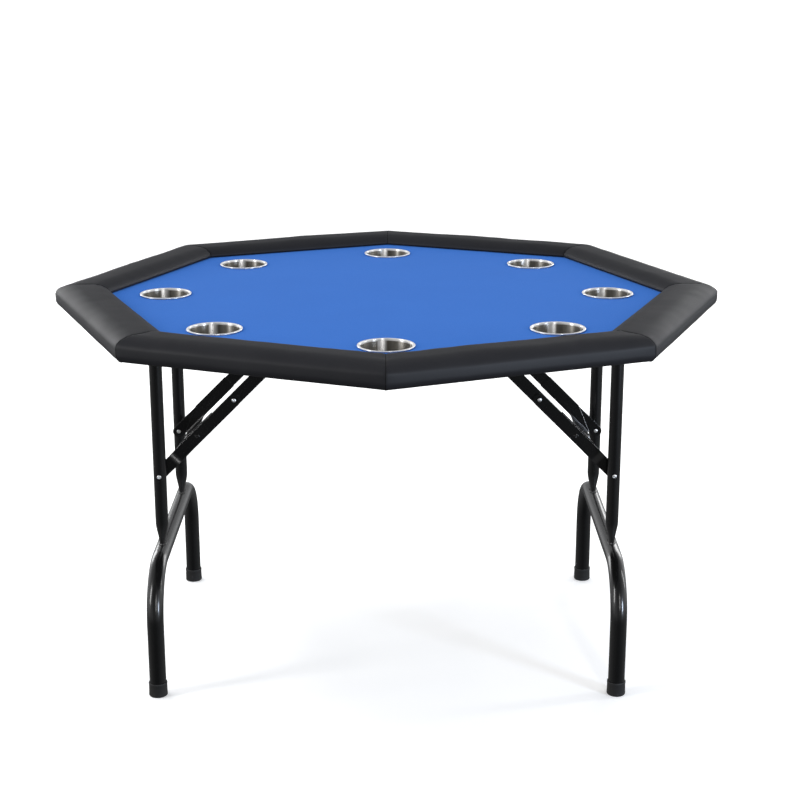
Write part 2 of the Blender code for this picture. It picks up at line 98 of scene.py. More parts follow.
# %% Camera
camera_data = bpy.data.cameras.new("camera")
camera_data.lens = 75.05
camera_data.sensor_width = 36.0
camera_data.shift_x = -0.0027
camera_data.shift_y = 0.0377
camera = bpy.data.objects.new("camera", camera_data)
camera.location = (0.0106, -3.2565, 1.4084)
camera.rotation_euler = (math.radians(73.5), 0.0, math.radians(-0.35))
bpy.context.scene.collection.objects.link(camera)
bpy.context.scene.camera = camera
bpy.context.scene.view_settings.view_transform = "Standard"

# %% [markdown]
# ## Shader maths as Python
# A wire in a node tree is a number that changes over the surface. Wrapping
# the socket in a small class lets plus and times build the Math nodes, so a
# mask reads as a formula. Every other node comes from one method.


# %% Socket maths
class Wire:
    """One output socket, with Python's operators standing for Math nodes."""

    def __init__(self, nodes, socket):
        self.nodes = nodes
        self.socket = socket

    def maths(self, operation, first, second):
        return self.nodes.node("ShaderNodeMath", {"operation": operation}, {0: first, 1: second})

    def __add__(self, other):
        return self.maths("ADD", self, other)

    def __radd__(self, other):
        return self.maths("ADD", other, self)

    def __sub__(self, other):
        return self.maths("SUBTRACT", self, other)

    def __rsub__(self, other):
        return self.maths("SUBTRACT", other, self)

    def __mul__(self, other):
        return self.maths("MULTIPLY", self, other)

    def __rmul__(self, other):
        return self.maths("MULTIPLY", other, self)

    def __pow__(self, other):
        return self.maths("POWER", self, other)


class Nodes:
    """A node tree that nodes are added to."""

    def __init__(self, tree):
        self.tree = tree

    def node(self, kind, settings=(), inputs=(), output=0):
        made = self.tree.nodes.new(kind)
        for name, value in dict(settings).items():
            setattr(made, name, value)
        for socket, value in dict(inputs).items():
            self.plug(made.inputs[socket], value)
        return Wire(self, made.outputs[output])

    def plug(self, socket, value):
        if isinstance(value, Wire):
            self.tree.links.new(value.socket, socket)
        else:
            socket.default_value = value

    def band(self, value, low, high):
        """Where a value runs from low to high, as 0 to 1 with soft ends."""
        settings = {"interpolation_type": "SMOOTHSTEP"}
        return self.node("ShaderNodeMapRange", settings, {"Value": value, "From Min": low, "From Max": high})

    def split(self, vector):
        """The three numbers of a vector."""
        first = self.node("ShaderNodeSeparateXYZ", {}, {0: vector})
        return [Wire(self, output) for output in first.socket.node.outputs]


# %% Finishes
class Finish(Nodes):
    """A material being made for one slot: fixed values go on the Principled shader's own sockets."""

    def __init__(self, name, slot=None, **fixed):
        self.slot = slot
        self.material = bpy.data.materials.new(name)
        self.material.use_nodes = True
        super().__init__(self.material.node_tree)
        self.shader = self.tree.nodes["Principled BSDF"]
        for key, value in fixed.items():
            socket = key.replace("_", " ").title().replace("Ior", "IOR")
            self.shader.inputs[socket].default_value = value
        self.place = self.node("ShaderNodeTexCoord", output="Object")

    def drive(self, socket, value):
        self.plug(self.shader.inputs[socket], value)

    def stretched(self, scale):
        """The place on the piece, scaled along each axis."""
        return self.node("ShaderNodeVectorMath", {"operation": "MULTIPLY"}, {0: self.place, 1: scale})

    def noise(self, scale, detail=2.0, place=None):
        """Cloudy noise from 0 to 1, with scale in features a metre."""
        inputs = {"Vector": place or self.place, "Scale": scale, "Detail": detail}
        return self.node("ShaderNodeTexNoise", {}, inputs)

    def cells(self, scale):
        """Distance within the cells of a random honeycomb."""
        return self.node("ShaderNodeTexVoronoi", {}, {"Vector": self.place, "Scale": scale})

    def blend(self, share, first, second):
        """Mix two colours."""
        return self.node("ShaderNodeMix", {"data_type": "RGBA"}, {0: share, 6: first, 7: second}, 2)

    def colour(self, share, first, second):
        """Colour the surface with a mix of two."""
        self.drive("Base Color", self.blend(share, first, second))

    def relief(self, height, depth, strength=1.0):
        """Bump the surface by a height from 0 to 1, with depth in metres."""
        bump = self.node("ShaderNodeBump", {}, {"Height": height, "Distance": depth, "Strength": strength})
        self.drive("Normal", bump)


def grey(level, warmth=0.0):
    """A grey colour, a little warm or cool."""
    return (level * (1 + warmth), level, level * (1 - warmth), 1.0)


# %% [markdown]
# ## Studio light
# A wide soft sun from above keeps the floor white out to the horizon, where a
# lamp near the table would leave it grey. The sky is bright near the horizon,
# most of all to the left and right, and dark below it and in front, so lips and
# tube tops shine while upright faces stay black. Seen directly it is plain
# white, like the floor. The sun gives no highlights of its own, and tall narrow
# boxes draw those on tube and in the cups.

# %% World
world = bpy.data.worlds.new("studio")
world.use_nodes = True
sky = Nodes(world.node_tree)
sky_direction = sky.node("ShaderNodeTexCoord", output="Generated")
sideways, backwards, upwards = sky.split(sky_direction)
sky_level = 0.17 + 0.68 * sky.band(upwards, -0.27, 0.0) - 0.45 * sky.band(upwards, 0.22, 0.80)
side_gain = 0.60 + 0.85 * sky.band(sideways * sideways, 0.0, 0.35)
front_gain = 0.50 + 0.50 * sky.band(backwards, -0.7, -0.1)
seen_directly = sky.node("ShaderNodeLightPath", output="Is Camera Ray")
sky_strength = sky_level * side_gain * front_gain * (1 - seen_directly) + 1.05 * seen_directly
background = world.node_tree.nodes["Background"]
sky.plug(background.inputs["Strength"], sky_strength)
sky.plug(background.inputs["Color"], (0.97, 0.98, 1.0, 1.0))
bpy.context.scene.world = world


# %% Lamps
def add_lamp(name, kind, energy, colour=(1.0, 1.0, 1.0)):
    """A lamp of one kind that the camera cannot see."""
    data = bpy.data.lights.new(name, kind)
    data.energy = energy
    data.color = colour
    lamp = bpy.data.objects.new(name, data)
    lamp.visible_camera = False
    bpy.context.scene.collection.objects.link(lamp)
    return lamp


def add_soft_box(name, azimuth, middle, size, energy, colour=(1.0, 1.0, 1.0)):
    """A tall box facing the table; azimuth is in degrees from the front towards the right."""
    lamp = add_lamp(name, "AREA", energy, colour)
    lamp.data.shape = "RECTANGLE"
    lamp.data.size, lamp.data.size_y = size
    reach, height = middle
    turn = math.radians(azimuth)
    lamp.location = (reach * math.sin(turn), -reach * math.cos(turn), height)
    lamp.rotation_euler = (Vector((0.0, 0.0, 0.6)) - lamp.location).to_track_quat("-Z", "Y").to_euler()


sun = add_lamp("ceiling", "SUN", 1.75)
sun.data.angle = math.radians(55.0)
sun.rotation_euler = (math.radians(20.0), 0.0, math.radians(-140.0))
sun.visible_glossy = False
add_soft_box("front_box", 14.0, (4.0, 1.9), (0.30, 2.0), 30.0)
add_soft_box("left_box", -66.0, (3.5, 1.7), (0.6, 1.8), 52.0)
add_soft_box("right_box", 48.0, (3.8, 0.85), (0.6, 1.0), 80.0, (0.72, 0.83, 1.0))
add_soft_box("far_right_box", 99.0, (3.4, 1.7), (0.35, 2.0), 20.0)
add_soft_box("back_left_box", -140.0, (3.6, 1.2), (1.4, 1.4), 27.0)
add_soft_box("back_right_box", 146.0, (3.6, 1.2), (1.4, 1.4), 20.0)
print(len(bpy.data.lights), "lamps")

# %% [markdown]
# ## The floor
# The table stands on a plain pale sweep. It is only a stage, so it is a large
# sheet with a trace of tone and is kept out of the model. Its underside is
# clear, so that the table can be looked at from below as well, and it throws
# no light back, so that black parts stay black.

# %% Floor
floor_finish = Finish("pale_floor", roughness=0.7, specular_ior_level=0.1, emission_strength=0.25)
floor_finish.shader.inputs["Emission Color"].default_value = grey(1.0)
floor_tone = floor_finish.noise(1.5)
floor_finish.colour(floor_tone, grey(0.92), grey(0.95))
from_below = floor_finish.node("ShaderNodeNewGeometry", output="Backfacing")
floor_finish.drive("Alpha", 1 - from_below)
bpy.ops.mesh.primitive_plane_add(size=120.0, location=(0.0, 0.0, 0.0))
floor = bpy.context.object
floor.name = "floor"
floor.data.materials.append(floor_finish.material)
floor.visible_glossy = False
floor.visible_diffuse = False

# %% [markdown]
# ## Blue playing cloth
# Poker cloth is a short-nap felt, so it is matt and slightly paler where the
# fibres stand up. Two scales of noise give the nap and a faint unevenness
# from brushing. Sheen on the shader gives the soft edge that fibres have.

# %% Felt finish
felt = Finish("blue_felt", "blue_felt", roughness=0.93, sheen_weight=0.05, sheen_roughness=0.6,
              specular_ior_level=0.08)
nap = felt.noise(1500.0, 4.0)
lint = felt.noise(260.0, 3.0)
brushed = felt.noise(7.0, 2.0)
felt_shade = 0.45 * nap + 0.35 * lint + 0.2 * brushed
felt.colour(felt_shade, (0.0075, 0.095, 0.395, 1), (0.018, 0.140, 0.528, 1))
felt.relief(0.7 * nap + 0.3 * lint, 0.35 * MM, 0.6)

# %% [markdown]
# ## Black leatherette
# The rail's cover is a knitted cloth with an embossed vinyl skin. Small
# cells make the pressed grain, finer noise the pores between them, and broad
# noise the patches where hands have polished the skin.

# %% Leatherette finish
leather = Finish("black_leatherette", "rail_leatherette", specular_ior_level=0.24)
grain = leather.cells(620.0)
pores = leather.noise(2400.0, 3.0)
handled = leather.noise(9.0, 3.0)
leather.colour(handled, (0.0080, 0.0082, 0.0104, 1), (0.0130, 0.0133, 0.0160, 1))
leather.drive("Roughness", 0.47 + 0.12 * handled + 0.06 * pores)
leather.relief(grain ** 0.6 + 0.35 * pores, 0.16 * MM, 0.45)

# %% [markdown]
# ## Seam thread
# The mitres are closed with bonded black thread. It lies below the skin, so
# it is matt and darker than the leatherette, with the twist of its plies.

# %% Thread finish
thread = Finish("seam_thread", "rail_leatherette", specular_ior_level=0.05)
twist = thread.noise(900.0, 2.0)
thread.colour(twist, grey(0.003), grey(0.008))
thread.drive("Roughness", 0.75 + 0.15 * twist)
thread.relief(twist, 0.10 * MM, 0.5)

# %% [markdown]
# ## Black powder coat
# Powder coat melts into a smooth skin with a slight orange peel. Fine noise
# bumps it, and the gloss wanders a little over each tube as it does where
# the spray was thicker.

# %% Powder coat finish
coat = Finish("black_powder_coat", "black_powder_coat", specular_ior_level=0.36, coat_weight=0.28,
              coat_roughness=0.08)
peel = coat.noise(520.0, 2.0)
drift = coat.noise(14.0, 3.0)
specks = coat.band(coat.noise(900.0, 1.0), 0.70, 0.78)
coat.colour(specks, grey(0.0055), grey(0.014))
coat.drive("Roughness", 0.18 + 0.10 * drift + 0.1 * specks)
coat.relief(peel, 0.05 * MM, 0.5)

# %% [markdown]
# ## Spun stainless steel
# The cups are spun, so fine lines run round the wall and the lip and smear
# every reflection into upright bands. Those bands are also painted into the
# wall's colour as painted reflection: two cosines of the direction from the
# cup's own axis lay three broad painted bands and six fainter ones round the
# wall, and noise along the same direction breaks their edges. The painted bands
# fade out above the floor, which keeps a plain mid tone. The lip is satin, so
# part of its light scatters and it stays pale all the way round.

# %% Steel finish
PAINTED_BAND_TURN = math.radians(9.5)
cup_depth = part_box("felt_cloth")[1].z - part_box("cup_holder_1")[0].z
steel = Finish("spun_stainless", "stainless_cup", anisotropic=0.85, anisotropic_rotation=0.25)
spun_lines = steel.noise(1.0, 3.0, steel.stretched((30.0, 30.0, 5200.0)))
flattened = steel.stretched((1.0, 1.0, 0.0))
direction = steel.node("ShaderNodeVectorMath", {"operation": "NORMALIZE"}, {0: flattened})
height = steel.split(steel.place)[2]
rightwards, backwards, _ = steel.split(direction)
# The turn round the cup's axis sets where the painted reflection bands fall.
turn = rightwards.maths("ARCTAN2", rightwards, backwards) + PAINTED_BAND_TURN
narrow, broad = (steel.node("ShaderNodeMath", {"operation": "COSINE"}, {0: count * turn}) for count in (9, 3))
band_edge_noise = steel.noise(9.0, 2.0, direction)
# Painted reflection: bright and dark upright bands painted into the wall's colour in place of the studio's
# reflections in the steel.
painted_band_mask = steel.band(0.5 * narrow + 0.45 * broad + 0.5 * band_edge_noise, 0.42, 0.95)
on_wall = steel.band(height, -0.6 * MM, -2.5 * MM)
on_floor = steel.band(height, 12.0 * MM - cup_depth, 5.0 * MM - cup_depth)
# The cup's floor gets a plain mid tone in place of the painted reflection bands.
painted_reflection_share = (0.85 * painted_band_mask + 0.15 * band_edge_noise) * (1 - on_floor) + 0.45 * on_floor
wall_painted_reflection = steel.blend(painted_reflection_share, (0.19, 0.175, 0.15, 1), (1.0, 0.99, 0.98, 1))
steel.colour(on_wall, (0.95, 0.94, 0.93, 1), wall_painted_reflection)
steel.drive("Roughness", 0.26 + 0.08 * spun_lines + on_wall * 0.12)
steel.drive("Metallic", 0.62 + 0.38 * on_wall)
steel.relief(spun_lines * on_wall, 0.03 * MM, 0.35)

# %% [markdown]
# ## Zinc plate and bare edges
# Rivets and bolts are bright zinc, slightly blotched by the bath. The catch
# plate was cut after it was coated, so its edge shows bare steel.

# %% Zinc finish
zinc = Finish("zinc_plate", "zinc_fastener", metallic=1.0)
blotches = zinc.noise(700.0, 3.0)
zinc.colour(blotches, grey(0.60), grey(0.92))
zinc.drive("Roughness", 0.26 + 0.2 * blotches)
zinc.relief(blotches, 0.05 * MM, 0.3)

bare_edge = Finish("bare_steel_edge", metallic=0.25)
shear_lines = bare_edge.noise(1.0, 2.0, bare_edge.stretched((900.0, 4000.0, 900.0)))
bare_edge.colour(shear_lines, grey(0.78), grey(0.95))
bare_edge.drive("Roughness", 0.30 + 0.2 * shear_lines)

# %% [markdown]
# ## Moulded rubber and fibreboard
# The feet are moulded, with the fine matt texture of a spark-eroded mould.
# The board is fibreboard under thin dark paint, which shows the fibres and
# scuffs to brown where it has been dragged.

# %% Rubber and board finishes
rubber = Finish("moulded_rubber", "foot_rubber", specular_ior_level=0.4)
mould_texture = rubber.noise(1300.0, 2.0)
scuffs = rubber.band(rubber.noise(150.0, 4.0), 0.56, 0.74)
rubber.colour(scuffs, grey(0.017), grey(0.034))
rubber.drive("Roughness", 0.48 + 0.15 * mould_texture)
rubber.relief(mould_texture, 0.08 * MM, 0.5)

fibreboard = Finish("painted_fibreboard", "board_wood", specular_ior_level=0.3)
fibres = fibreboard.noise(1.0, 4.0, fibreboard.stretched((90.0, 420.0, 420.0)))
rubbed = fibreboard.band(fibreboard.noise(16.0, 5.0), 0.60, 0.82)
board_tone = fibreboard.blend(fibres, grey(0.060, 0.12), grey(0.105, 0.15))
fibreboard.colour(0.4 * rubbed, board_tone, (0.24, 0.17, 0.11, 1))
fibreboard.drive("Roughness", 0.55 + 0.2 * fibres)
fibreboard.relief(fibres, 0.12 * MM, 0.4)
print(len(bpy.data.materials), "finishes made")

# %% [markdown]
# ## Making a mesh
# Most pieces are a row of rings with a skin over them: a tube, a rivet, a
# cup and a bar all come from one function. Another puts the mesh into the
# scene, smooths it, gives it its finish, ties it to its body and hides the
# frame pieces that it stands for.


# %% Mesh helpers
def loft(rings, joined=False, capped=True):
    """Skin a row of equal rings; the ends are joined, capped, or left open."""
    mesh = bmesh.new()
    rows = [[mesh.verts.new(point) for point in ring] for ring in rings]
    pairs = list(zip(rows, rows[1:]))
    if joined:
        pairs.append((rows[-1], rows[0]))
    elif capped:
        mesh.faces.new(rows[0][::-1])
        mesh.faces.new(rows[-1])
    for first, second in pairs:
        for i in range(len(first)):
            j = (i + 1) % len(first)
            mesh.faces.new((first[i], first[j], second[j], second[i]))
    return mesh


def circle(centre, across, up, radii, count):
    """Points round a centre; radii is one number, or one for each direction."""
    wide, tall = radii if isinstance(radii, tuple) else (radii, radii)
    angles = [math.tau * i / count for i in range(count)]
    return [centre + across * (wide * math.cos(a)) + up * (tall * math.sin(a)) for a in angles]


def turned(profile, centre, axis, count=48):
    """Turn a row of (radius, distance) about an axis through a centre."""
    across = Z_AXIS if abs(axis.z) < 0.5 else X_AXIS
    up = axis.cross(across)
    return loft([circle(centre + axis * reach, across, up, radius, count) for radius, reach in profile])


def swept(path, radius, count=10, joined=False):
    """A round cord along a path of points; radius is a number, or one for each point."""
    rings = []
    for i, point in enumerate(path):
        before = path[i - 1] if i or joined else point
        after = path[(i + 1) % len(path)] if i + 1 < len(path) or joined else point
        along = (after - before).normalized()
        across = along.orthogonal() if abs(along.z) > 0.999 else along.cross(Z_AXIS)
        across.normalize()
        size = radius[i] if isinstance(radius, list) else radius
        rings.append(circle(point, across, along.cross(across), size, count))
    return loft(rings, joined)


def arc(centre, radii, start, stop, steps):
    """Points of an elliptical arc as pairs, with angles in degrees."""
    turns = [math.radians(start + (stop - start) * i / steps) for i in range(steps + 1)]
    return [(centre[0] + radii[0] * math.cos(a), centre[1] + radii[1] * math.sin(a)) for a in turns]


def turned_by(eighths):
    """A turn about the middle of the table, in eighths of a circle."""
    return Matrix.Rotation(math.tau * eighths / 8, 4, "Z")


def box_middle(box, height):
    """The middle of a box as seen from above, at a height."""
    low, high = box
    return Vector(((low.x + high.x) / 2, (low.y + high.y) / 2, height))


def mirrored(mesh, side, end=1):
    """Move a mesh drawn at the right and back to another quarter of the table."""
    mesh.transform(Matrix.Diagonal((side, end, 1.0, 1.0)))
    return mesh


def add_piece(name, mesh, finish, body, replaced=(), sharp=35.0, origin=(0.0, 0.0, 0.0)):
    """Make an object from a mesh drawn about an origin, and give it its body and finish."""
    bmesh.ops.recalc_face_normals(mesh, faces=mesh.faces)
    data = bpy.data.meshes.new(name)
    mesh.to_mesh(data)
    mesh.free()
    data.shade_smooth()
    data.set_sharp_from_angle(angle=math.radians(sharp))
    data.materials.append(finish.material)
    piece = bpy.data.objects.new(name, data)
    piece.location = origin
    bpy.context.scene.collection.objects.link(piece)
    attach(piece, body)
    if replaced:
        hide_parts(*replaced)
    return piece


def round_edges(piece, width, segments=2):
    """Break a piece's sharp edges, as a die or a file would."""
    bevel = piece.modifiers.new("broken_edges", "BEVEL")
    bevel.width = width
    bevel.segments = segments
    bevel.limit_method = "ANGLE"
    bevel.angle_limit = math.radians(40.0)
    bevel.harden_normals = True
    return piece


def many(copies):
    """Join several meshes into one."""
    whole = bmesh.new()
    for mesh in copies:
        data = bpy.data.meshes.new("copy")
        mesh.to_mesh(data)
        mesh.free()
        whole.from_mesh(data)
        bpy.data.meshes.remove(data)
    return whole


# %% [markdown]
# ## The board and its cloth
# Both are octagons with eight round holes. A constrained triangulation takes
# the outline, the holes, a grid of inner points and close rings round each cup
# at once, which leaves real vertices to shape: the cloth dips a little where a
# cup's lip presses.

# %% Holes and outlines
cup_boxes = [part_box(f"cup_holder_{i + 1}") for i in EIGHT]
cup_centres = [Vector(((low.x + high.x) / 2, (low.y + high.y) / 2)) for low, high in cup_boxes]
rim_radius = (cup_boxes[0][1].x - cup_boxes[0][0].x) / 2
board_low, board_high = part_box("playing_board")
felt_low, felt_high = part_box("felt_cloth")
CUP_BODY_RADIUS = 47.2 * MM
HOLE_RADIUS = 48.2 * MM
HOLE_POINTS = 64
RING_MARGINS = (-1.0 * MM, 1.0 * MM, 3.5 * MM, 8.0 * MM)
CLEAR_MARGIN = 11.0 * MM
ROW_RATIO = 0.866


def octagon(corner_radius, steps=24):
    """The table's outline as points, with each straight side cut into steps."""
    turns = [k * math.pi / 4 for k in EIGHT]
    corners = [Vector((math.cos(turn), math.sin(turn))) * corner_radius for turn in turns]
    return [corners[k].lerp(corners[(k + 1) % 8], i / steps) for k in EIGHT for i in range(steps)]


def cup_ring(centre, radius):
    """Flat points round one cup."""
    return [point.to_2d() for point in circle(centre.to_3d(), X_AXIS, Y_AXIS, radius, HOLE_POINTS)]


def holed_octagon(corner_radius, spacing):
    """A flat octagon with the eight cup holes, as (points, triangles)."""
    loops = [octagon(corner_radius)] + [cup_ring(centre, HOLE_RADIUS) for centre in cup_centres]
    points = [point for loop in loops for point in loop]
    faces = []
    for loop in loops:
        start = sum(len(face) for face in faces)
        faces.append(list(range(start, start + len(loop))))
    reach = int(corner_radius / spacing) + 1
    for row in range(-reach, reach + 1):
        for column in range(-reach, reach + 1):
            spot = Vector((column + 0.5 * (row % 2), row * ROW_RATIO)) * spacing
            if min((spot - centre).length for centre in cup_centres) > rim_radius + CLEAR_MARGIN:
                points.append(spot)
    for centre in cup_centres:
        for margin in RING_MARGINS:
            points += cup_ring(centre, rim_radius + margin)
    spots, _, triangles, _, _, sources = geometry.delaunay_2d_cdt(points, [], faces, 1, 1e-6)
    kept = [triangle for triangle, source in zip(triangles, sources) if source == [0]]
    return spots, kept


def sheet_mesh(spots, triangles, top, thickness, shape=None):
    """A sheet with real thickness: a top that may be shaped, a flat underside, and its edges."""
    mesh = bmesh.new()
    used = sorted({index for triangle in triangles for index in triangle})
    upper = {i: mesh.verts.new((*spots[i], top + (shape(spots[i]) if shape else 0.0))) for i in used}
    lower = {i: mesh.verts.new((*spots[i], top - thickness)) for i in used}
    counts = {}
    for triangle in triangles:
        mesh.faces.new([upper[i] for i in triangle])
        mesh.faces.new([lower[i] for i in reversed(triangle)])
        for i in range(3):
            edge = (triangle[i], triangle[(i + 1) % 3])
            counts[frozenset(edge)] = None if frozenset(edge) in counts else edge
    for edge in filter(None, counts.values()):
        mesh.faces.new((upper[edge[1]], upper[edge[0]], lower[edge[0]], lower[edge[1]]))
    return mesh


# %% Board and cloth
LIP_DIP = 0.5 * MM
DIP_REACH = 3.0 * MM
SLACK = 0.15 * MM


def cloth_height(spot):
    """How far the cloth sinks or rises: a dip under each cup's lip and a trace of slack."""
    nearest = min((spot - centre).length for centre in cup_centres)
    dip = LIP_DIP * math.exp(-max(0.0, nearest - rim_radius) / DIP_REACH)
    return SLACK * noise.noise(Vector((spot.x * 5.0, spot.y * 5.0, 3.1))) - dip - SLACK


BOARD_GRID = 90.0 * MM
CLOTH_GRID = 14.0 * MM
board_mesh = sheet_mesh(*holed_octagon(board_high.x, BOARD_GRID), board_high.z, board_high.z - board_low.z)
add_piece("board", board_mesh, fibreboard, "table_top", ["playing_board"])

felt_spots, felt_triangles = holed_octagon(felt_high.x, CLOTH_GRID)
felt_mesh = sheet_mesh(felt_spots, felt_triangles, felt_high.z, felt_high.z - felt_low.z, cloth_height)
cloth = add_piece("playing_cloth", felt_mesh, felt, "table_top", ["felt_cloth"])

# %% [markdown]
# ## One rail pad
# A pad is foam under leatherette, crowned over the cloth and pulled round the
# board's edge. It is drawn in its own frame: outwards, along and up. The
# outline is made of three soft rounds, and every row ends on the mitre.

# %% Rail outline
pad_low, pad_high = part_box("rail_pad_1")
rail_outer = cad_high.x * math.cos(HALF_CORNER)
rail_inner = pad_low.x / math.cos(math.pi / 4) * math.cos(HALF_CORNER)
board_edge = board_high.x * math.cos(HALF_CORNER)
RAIL_LIP = 50.0 * MM
PAD_CLEARANCE = 0.3 * MM
CROWN_RISE = 20.3 * MM
INNER_ROUND = 34.8 * MM
OUTER_ROUND = 40.6 * MM
LOW_ROUND = 16.0 * MM
ROUND_STEPS = 12
LOW_STEPS = 8
HOLD_SLOPE = 9.0


def rail_outline(crown):
    """The pad's outline as (outward, up, softness), from 1 on the foam to 0 where it is held."""
    shoulder = pad_high.z - CROWN_RISE
    rise = CROWN_RISE - crown
    lip_top = board_low.z - PAD_CLEARANCE
    toe = felt_high.z + PAD_CLEARANCE
    soft = arc((rail_inner + INNER_ROUND, shoulder), (INNER_ROUND, rise), 180.0, 90.0, ROUND_STEPS)
    soft += arc((rail_outer - OUTER_ROUND, shoulder), (OUTER_ROUND - crown / 2, rise), 90.0, 0.0, ROUND_STEPS)
    low_middle = (rail_outer - LOW_ROUND, pad_low.z + LOW_ROUND)
    soft += arc(low_middle, (LOW_ROUND - crown / 2, LOW_ROUND), 0.0, -90.0, LOW_STEPS)
    lip_edge = rail_outer - RAIL_LIP
    rebate = board_edge + PAD_CLEARANCE
    held = [(lip_edge, pad_low.z), (lip_edge, lip_top), (rebate, lip_top), (rebate, toe)]
    held += [(rail_inner + 20.0 * MM, toe), (rail_inner + 2.0 * MM, toe)]
    outline = []
    for i, (outward, up) in enumerate(soft):
        share = i / (len(soft) - 1)
        outline.append((outward, up, min(1.0, HOLD_SLOPE * share, HOLD_SLOPE * (1.0 - share))))
    return outline + [(outward, up, 0.0) for outward, up in held]


def pad_rows(crown, count=64):
    """Rows of (point, softness, distance to the mitre) along a pad, closer together near the mitres."""
    rows = []
    for i in range(count + 1):
        share = -math.cos(math.pi * i / count)
        row = []
        for outward, up, soft in rail_outline(crown):
            half = outward * math.tan(HALF_CORNER) - PAD_CLEARANCE / 2
            row.append((Vector((outward, half * share, up)), soft, half * (1.0 - abs(share))))
        rows.append(row)
    return rows


# %% [markdown]
# ## Stuffing the pad
# Air pressure in a cloth simulation does what foam does: it fills the middle
# and leaves the sewn ends low. One pad is blown up from a flatter start while
# its base and mitres are held, and the eight pads share the result.

# %% Blow up one pad
START_CROWN = 1.5 * MM
SWELL_LIMIT = 3.2 * MM
SMOOTHING_PASSES = 10
LAST_STEP = 20
HELD_REACH = 3.0 * MM
FOAM_CLOTH = {"quality": 6, "mass": 0.25, "tension_stiffness": 40.0, "compression_stiffness": 40.0,
              "shear_stiffness": 20.0, "bending_stiffness": 8.0, "use_pressure": True,
              "uniform_pressure_force": 4.0, "vertex_group_mass": "held"}


def smoothed(offsets, row_count, width):
    """Even out offsets over the pad, as taut foam does, leaving the two mitre rows alone."""
    for _ in range(SMOOTHING_PASSES):
        before = list(offsets)
        for r in range(1, row_count - 1):
            for c in range(width):
                i = r * width + c
                beside = before[i - width] + before[i + width]
                beside += before[r * width + (c - 1) % width] + before[r * width + (c + 1) % width]
                offsets[i] = before[i] / 2 + beside / 8
    return offsets


def stuffed_shape():
    """The soft rise of each point of a pad, as offsets from the flatter start."""
    rows = pad_rows(START_CROWN)
    mesh = loft([[point for point, _, _ in row] for row in rows])
    data = bpy.data.meshes.new("stuffing")
    bmesh.ops.recalc_face_normals(mesh, faces=mesh.faces)
    mesh.to_mesh(data)
    mesh.free()
    trial = bpy.data.objects.new("stuffing", data)
    bpy.context.scene.collection.objects.link(trial)
    flat = [entry for row in rows for entry in row]
    held = trial.vertex_groups.new(name="held")
    for index, (_, soft, to_mitre) in enumerate(flat):
        held.add([index], max(1.0 - soft, math.exp(-to_mitre / HELD_REACH)), "REPLACE")
    foam = trial.modifiers.new("foam", "CLOTH")
    for setting, value in FOAM_CLOTH.items():
        setattr(foam.settings, setting, value)
    foam.settings.effector_weights.gravity = 0.0
    foam.collision_settings.use_collision = False
    scene = bpy.context.scene
    for step in range(1, LAST_STEP + 1):
        scene.frame_set(step)
    solved = trial.evaluated_get(bpy.context.evaluated_depsgraph_get()).to_mesh()
    offsets = []
    for (start, soft, _), vertex in zip(flat, solved.vertices):
        swell = (vertex.co - start) * soft
        offsets.append(swell * (SWELL_LIMIT / (SWELL_LIMIT + swell.length)))
    scene.frame_set(1)
    bpy.data.objects.remove(trial)
    return smoothed(offsets, len(rows), len(rows[0]))


swells = stuffed_shape()
print("foam lifts the cover by up to", round(max(swell.length for swell in swells) / MM, 1), "mm")

# %% [markdown]
# ## Sewing and placing the pads
# The cover is drawn in at each mitre, where it is sewn to its neighbour, and
# small puckers run out from the seam. Slow ripples make every pad its own.
# The outer corner is rounded, as leatherette will not follow a sharp one.


# %% Eight pads
VALLEY_DEPTH, VALLEY_WIDTH = 0.7 * MM, 1.8 * MM
CORNER_PULL, CORNER_REACH = 0.6 * MM, 8.0 * MM
PUCKER_DEPTH, PUCKER_REACH, PUCKERS = 0.45 * MM, 16.0 * MM, 0.75
SLOW_RIPPLE, FINE_RIPPLE, RIPPLE_REACH = 1.5 * MM, 0.5 * MM, 25.0 * MM
SETTLED = 0.8 * MM
FOAM_LEAN = Vector((0.35, 0.0, 0.94))


def sewn_offset(point, soft, to_mitre, index):
    """How far the sewing and the cover's slack move a point of a pad."""
    outwardness = (point.x - rail_inner) / (rail_outer - rail_inner)
    inwards = Vector((0.5 - outwardness, 0.0, -0.6)).normalized()
    valley = VALLEY_DEPTH * math.exp(-(to_mitre / VALLEY_WIDTH) ** 2)
    corner = CORNER_PULL * math.exp(-to_mitre / CORNER_REACH) * max(0.0, outwardness - 0.6) / 0.4
    girth = (point.x + 1.3 * point.z) / MM
    pucker = PUCKER_DEPTH * math.sin(girth * PUCKERS + index) * math.exp(-to_mitre / PUCKER_REACH)
    slow = SLOW_RIPPLE * noise.noise(Vector((point.y * 9.0, point.x * 16.0, index * 7.7)))
    fine = FINE_RIPPLE * noise.noise(Vector((point.y * 34.0, point.x * 30.0, index * 3.3 + 50.0)))
    settle = (slow + fine) * (1.0 - math.exp(-to_mitre / RIPPLE_REACH)) - SETTLED
    return (inwards * (valley - pucker) - X_AXIS * corner + FOAM_LEAN * settle) * soft


def place_pad(index):
    """Turn the shared pad to its side of the table, with its own creases."""
    turn = turned_by(index + 0.5)
    rows = pad_rows(START_CROWN)
    width = len(rows[0])
    rings = []
    for r, row in enumerate(rows):
        ring = []
        for c, (point, soft, to_mitre) in enumerate(row):
            sewn = sewn_offset(point, soft, to_mitre, index)
            ring.append(turn @ (point + swells[r * width + c] + sewn))
        rings.append(ring)
    pad = add_piece(f"leatherette_pad_{index + 1}", loft(rings), leather, "table_top",
                    [f"rail_pad_{index + 1}"], sharp=60.0)
    return rings


pad_rings = [place_pad(index) for index in EIGHT]

# %% [markdown]
# ## Seams
# The visible line at each mitre is the fold where two covers are sewn
# together. A thin rolled welt lies in the valley, so it is swept along the
# last row of one pad, half way to the first row of the next.

